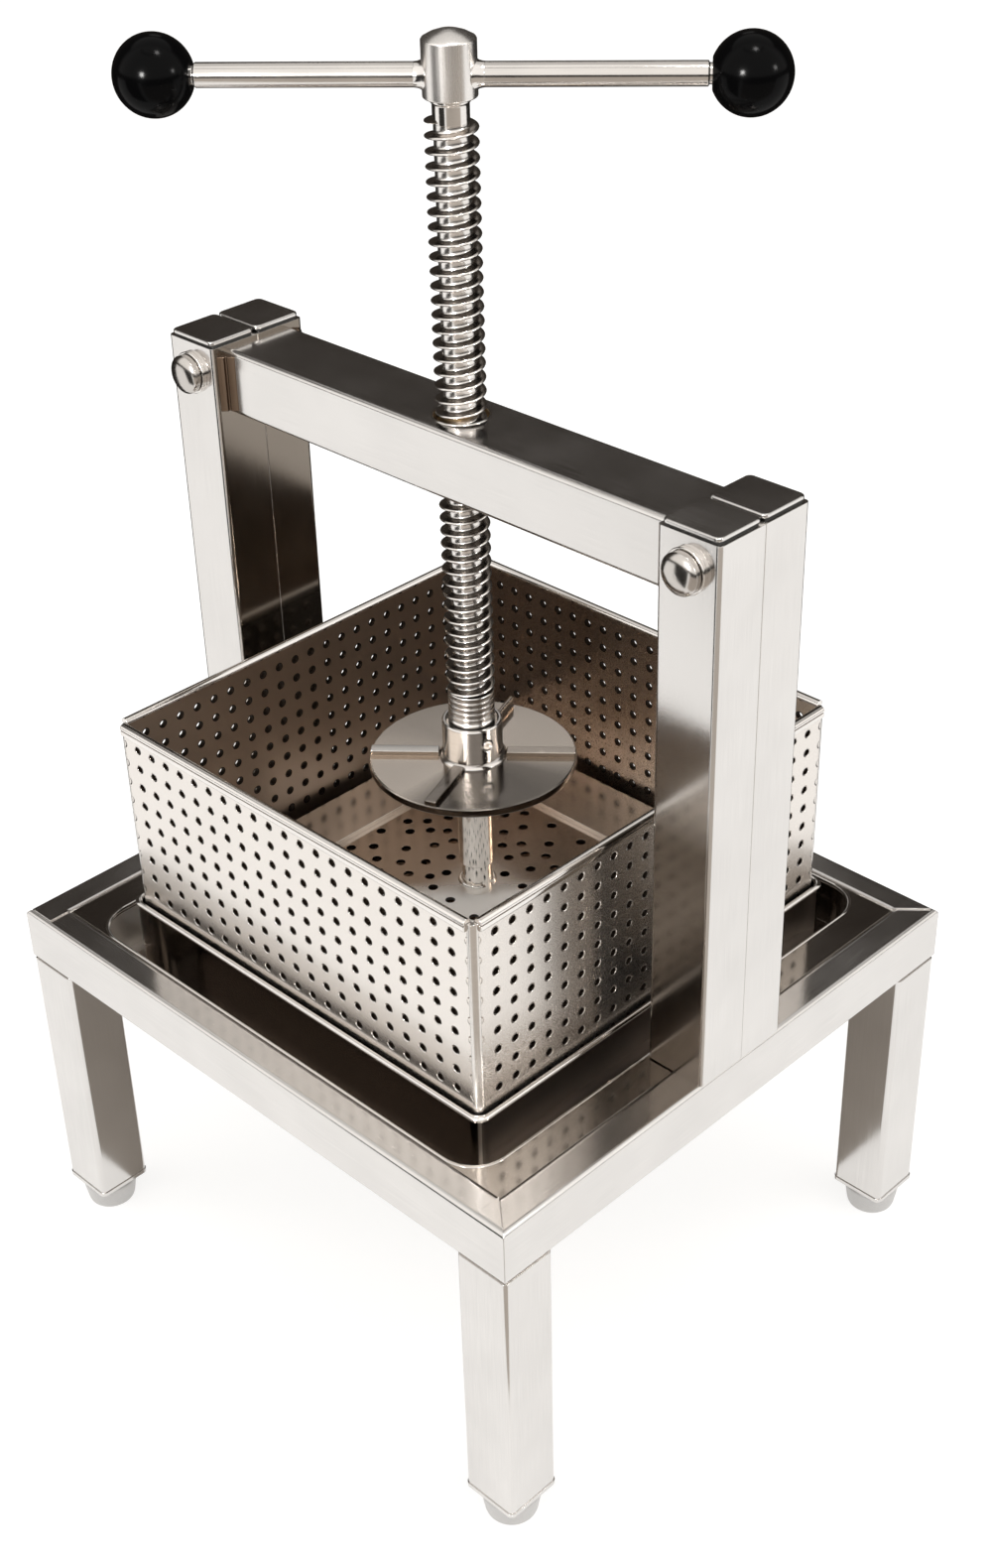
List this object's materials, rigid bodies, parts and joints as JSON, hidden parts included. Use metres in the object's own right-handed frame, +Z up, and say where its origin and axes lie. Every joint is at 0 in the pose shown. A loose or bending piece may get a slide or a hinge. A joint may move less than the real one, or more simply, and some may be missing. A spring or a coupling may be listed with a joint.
{
  "type": "paneer press",
  "caption": "Screw press for paneer: steel table with drip tray and perforated basket, and a portal frame with a hand-turned screw, disc and follower plate.",
  "frame": {"origin": "on the floor, under the middle of the table, on the screw's axis", "axes": "+X along the crossbeam to the right, +Y to the rear, +Z up along the screw"},
  "size_m": [0.401, 0.369, 0.741],
  "materials": {
    "frame_steel": "satin, fine grain along each tube",
    "pan_steel": "bright rolled sheet, nearly mirror",
    "basket_steel": "satin sheet, slightly warm",
    "turned_steel": "turned and polished",
    "fastener_steel": "turned, plain",
    "bearing_bronze": "machined",
    "foot_plastic": "moulded, satin",
    "knob_plastic": "high gloss"
  },
  "bodies": {
    "frame": {"front_rail": "frame_steel", "rear_rail": "frame_steel", "left_rail": "frame_steel", "right_rail": "frame_steel", "corner_plates": "frame_steel", "leg_front_left": "frame_steel", "leg_front_right": "frame_steel", "leg_rear_left": "frame_steel", "leg_rear_right": "frame_steel", "leg_plate_front_left": "frame_steel", "leg_plate_front_right": "frame_steel", "leg_plate_rear_left": "frame_steel", "leg_plate_rear_right": "frame_steel", "left_front_upright": "frame_steel", "left_rear_upright": "frame_steel", "right_front_upright": "frame_steel", "right_rear_upright": "frame_steel", "left_front_cap": "frame_steel", "left_rear_cap": "frame_steel", "right_front_cap": "frame_steel", "right_rear_cap": "frame_steel", "crossbeam": "frame_steel", "deck_pan": "pan_steel", "drip_tray": "pan_steel", "basket_front": "basket_steel", "basket_rear": "basket_steel", "basket_left": "basket_steel", "basket_right": "basket_steel", "basket_corners": "basket_steel", "basket_floor": "basket_steel", "basket_hem": "basket_steel", "left_tie_bolt": "fastener_steel", "right_tie_bolt": "fastener_steel", "tie_washers": "fastener_steel", "tie_nuts": "fastener_steel", "screw_nut": "bearing_bronze", "foot_front_left": "foot_plastic", "foot_front_right": "foot_plastic", "foot_rear_left": "foot_plastic", "foot_rear_right": "foot_plastic"},
    "press_foot": {"collar": "turned_steel", "collar_weld": "turned_steel", "thrust_washer": "bearing_bronze", "set_screw": "fastener_steel", "press_disc": "turned_steel", "disc_strips": "turned_steel", "press_post": "turned_steel", "retaining_ring": "turned_steel", "follower_plate": "basket_steel", "follower_frame": "basket_steel", "follower_screw": "fastener_steel"},
    "screw": {"press_screw": "turned_steel", "hub": "turned_steel", "handle_bar": "turned_steel", "left_knob": "knob_plastic", "right_knob": "knob_plastic"}
  },
  "joints": [
    {"name": "press_travel", "type": "slide", "parent": "frame", "child": "press_foot", "axis": [0, 0, 1], "range_m": [-0.0415, 0.127]},
    {"name": "screw_turn", "type": "hinge", "parent": "press_foot", "child": "screw", "pos_m": [0, 0, 0.35], "axis": [0, 0, 1], "range_deg": [-1996, 6100]}
  ],
  "couplings": [
    {"joint": "screw_turn", "follows": "press_travel", "rad_per_m": 837.76}
  ]
}
